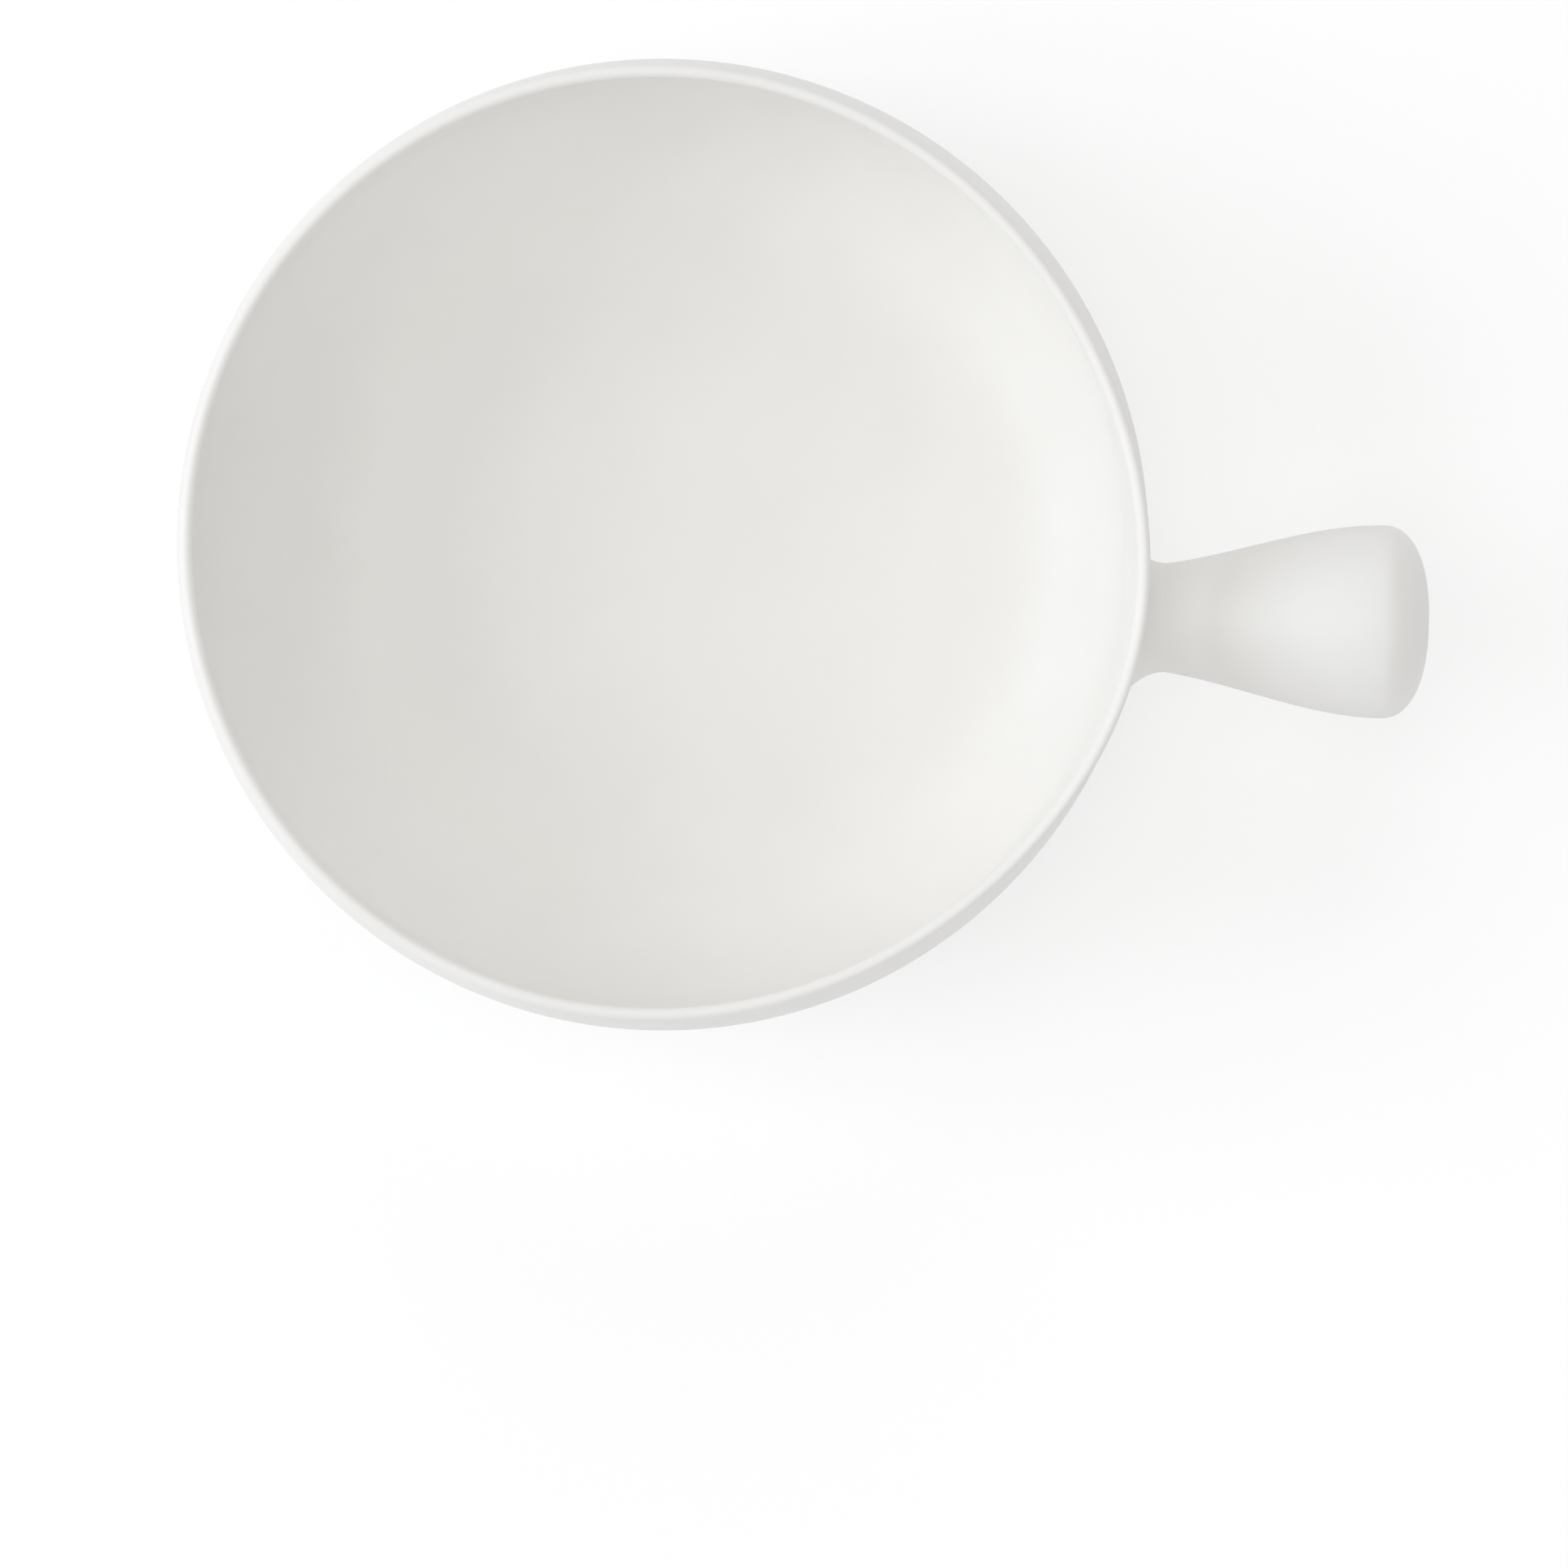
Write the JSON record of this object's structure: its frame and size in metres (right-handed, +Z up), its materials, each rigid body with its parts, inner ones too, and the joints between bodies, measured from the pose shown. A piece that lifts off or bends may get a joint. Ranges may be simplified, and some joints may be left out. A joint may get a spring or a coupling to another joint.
{
  "type": "soup bowl",
  "caption": "Round white glazed soup bowl with nearly upright walls, a rounded lip, a low foot ring and a short flared stub handle at the side, for serving or baking.",
  "frame": {"origin": "on the bowl's axis, in the plane of the foot ring's standing face", "axes": "+X along the handle towards its tip, +Z up out of the bowl's mouth, +Y completes the right-handed frame; the handle's axis runs parallel to X, 10.5 mm towards -Y of the bowl's axis"},
  "size_m": [0.2115, 0.164, 0.06],
  "materials": {
    "clay": "fired bare clay, matte and slightly rough, cream white",
    "slip": "fired slip, matte",
    "glaze": "satin white glaze with a soft, wide sheen"
  },
  "bodies": {
    "root": {"bowl_body": "clay", "foot_ring": "clay", "handle": "clay", "luting_slip": "slip", "glaze_inside": "glaze", "glaze_outside": "glaze", "glaze_handle": "glaze", "glaze_well": "glaze"}
  },
  "joints": []
}
